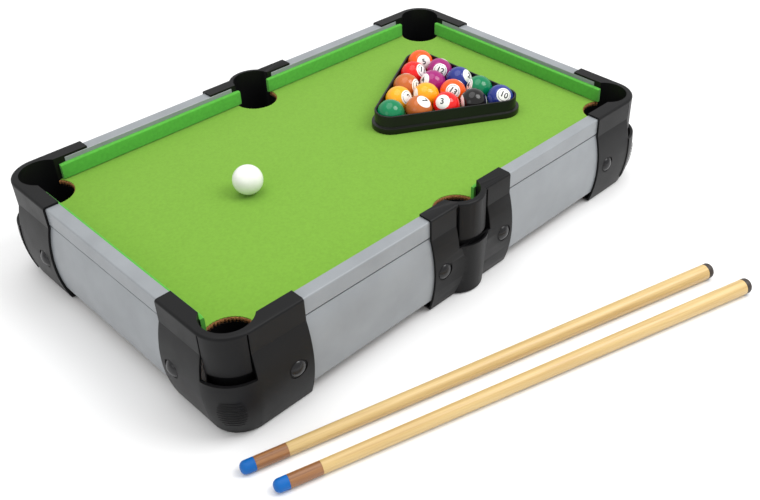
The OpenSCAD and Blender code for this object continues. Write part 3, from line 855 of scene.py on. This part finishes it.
def ball_mesh(name, radius, number):
    """A ball about its own centre: material 0 is its colour, 1 the white discs, 2 the ink."""
    striped = number is not None and number > 8
    angles = ring_angles(striped)
    polar = [math.radians(angle) for angle in angles]
    profile = [(radius * math.cos(p), radius * math.sin(p)) for p in polar]
    work = bmesh.new()
    bands = turned(work, profile, BALL_SEGMENTS)
    if number is not None:
        for a, b, band in zip(angles, angles[1:], bands):
            middle = min((a + b) / 2, 180 - (a + b) / 2)
            if middle > DISC_ANGLE:
                continue
            for face in band:
                face.material_index = 2 if striped and RING_INNER < middle < RING_OUTER else 1
        for side in (1, -1):
            add_digits(work, str(number), radius, side)
    return smooth_mesh(work, name, 60)


def add_ball(node, number=None):
    low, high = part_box(node)
    turn = Matrix.Identity(3)
    skins = [material("ball_white")]
    if number is not None:
        turn = ball_facing(*BALL_SHOW[number])
        cap_axis = turn @ Vector((0, 1, 0)) if number > 8 else None
        slot = slot_of_node(node)
        resin = ball_material("%s_resin_%d" % (slot, number), BALL_TINTS[slot], cap_axis)
        skins = [resin, material("ball_white"), material("ink")]
    mesh = ball_mesh(node + "_resin", (high.z - low.z) / 2 * BALL_INSET, number)
    mesh.transform(turn.to_4x4())
    link_piece(mesh, node, skins, at=(low + high) / 2)


# ---------------------------------------------------------------- cues

CUE_SEGMENTS = 48
TAPER_STEPS = 24
ROUND_STEPS = 8
CUE_ROUNDS = {  # rounding at the end nearer the tip and at the far end
    "_tip": (4.4 * MM, 0.3 * MM),
    "_ferrule": (0.25 * MM, 0.25 * MM),
    "_shaft": (0.25 * MM, 0.3 * MM),
    "_butt_cap": (0.4 * MM, 4.0 * MM),
}


def ring_centre(points):
    """Centre of the circle through points that lie on one."""
    points = np.array(points)
    middle = points.mean(0)
    away = points - middle
    rows = np.hstack([2 * away, np.ones((len(away), 1))])
    found = np.linalg.lstsq(rows, (away ** 2).sum(1), rcond=1e-6)[0]
    return Vector(middle + found[:3])


def cue_line(cue):
    """The tip end and the direction of a cue's axis, from the rims of its tapered shaft."""
    def vertices(suffix):
        return [Vector(v.co) for v in frame["nodes"][cue + suffix].data.vertices]

    shaft = vertices("_shaft")
    ferrule = vertices("_ferrule")
    rough = sum(shaft, Vector()) / len(shaft) - sum(ferrule, Vector()) / len(ferrule)
    rough.normalize()
    along = [v.dot(rough) for v in shaft]
    rims = (
        [v for v, d in zip(shaft, along) if d < min(along) + 1 * MM],
        [v for v, d in zip(shaft, along) if d > max(along) - 1 * MM],
    )
    first, last = (ring_centre([tuple(v) for v in rim]) for rim in rims)
    direction = (last - first).normalized()
    tip_end = min((v - first).dot(direction) for v in vertices("_tip"))
    return first + direction * tip_end, direction


def node_span(node, start, direction):
    """Distances along the axis and the radii at both ends of a cue's CAD piece."""
    spans = []
    for v in frame["nodes"][node].data.vertices:
        away = v.co - start
        d = away.dot(direction)
        spans.append((d, (away - direction * d).length))
    near, far = min(s[0] for s in spans), max(s[0] for s in spans)
    r_near = max(r for d, r in spans if d < near + 0.1 * MM)
    r_far = max(r for d, r in spans if d > far - 0.1 * MM)
    return near, far, r_near, r_far


def rounded_profile(near, far, r_near, r_far, round_near, round_far):
    """A turned profile from near to far with rounded shoulders."""
    first, last = near + round_near, far - round_far
    points = [(near, 0.0), *arc(first, r_near - round_near, round_near, 180, 90, ROUND_STEPS)]
    for i in range(1, TAPER_STEPS):
        d = first + (last - first) * i / TAPER_STEPS
        points.append((d, r_near + (r_far - r_near) * (d - near) / (far - near)))
    return [*points, *arc(last, r_far - round_far, round_far, 90, 0, ROUND_STEPS), (far, 0.0)]


def add_cue(cue):
    """The four turned pieces of a cue, with the grain of its woods along it."""
    start, direction = cue_line(cue)
    place = Matrix.Translation(start) @ direction.to_track_quat("Z", "Y").to_matrix().to_4x4()
    for suffix, rounds in CUE_ROUNDS.items():
        node = cue + suffix
        near, far, r_near, r_far = node_span(node, start, direction)
        if suffix == "_tip":
            r_near = r_far
        if suffix == "_butt_cap":
            r_far = r_near
        work = bmesh.new()
        turned(work, rounded_profile(near, far, r_near, r_far, *rounds), CUE_SEGMENTS, place)
        skins = None
        slot = slot_of_node(node)
        if slot in WOODS:
            turn = math.atan2(direction.y, direction.x)
            skins = [wood_material(cue + "_" + slot, slot, turn)]
        link_piece(smooth_mesh(work, node + "_turned", 40), node, skins)


# ---------------------------------------------------------------- the scene

SHELL_EDGES = {  # rounding of the edges in mm
    "front_left_corner": 0.45, "front_right_corner": 0.45,
    "rear_left_corner": 0.45, "rear_right_corner": 0.45,
    "front_side_casting": 0.45, "rear_side_casting": 0.45,
    "rack": 0.5, "casting_bolts": 0.35, "bolt_nuts": 0.15,
    "long_battens": 0.2, "end_battens": 0.2, "cross_braces": 0.2,
    "bed_screws": 0.1, "rubber_feet": 0.3,
}

add_camera()
add_world()
for name, settings in LIGHTS.items():
    add_area_light(name, *settings)
add_floor()

for node in frame["nodes"]:
    if node.endswith("_rail"):
        add_rail(node)
for node, edge_mm in SHELL_EDGES.items():
    add_shell(node, edge_mm)
for node in SHELL_EDGES:
    if node.endswith("_corner"):
        add_cup_ribs(node)
add_bed()
for seed, side in enumerate(CUSHION_SIDES):
    add_cushion(side + "_cushion", seed)
add_ball("cue_ball")
for number in BALL_SHOW:
    add_ball("ball_%d" % number, number)
for cue in ("cue_1", "cue_2"):
    add_cue(cue)

bpy.context.scene.view_settings.view_transform = "Standard"
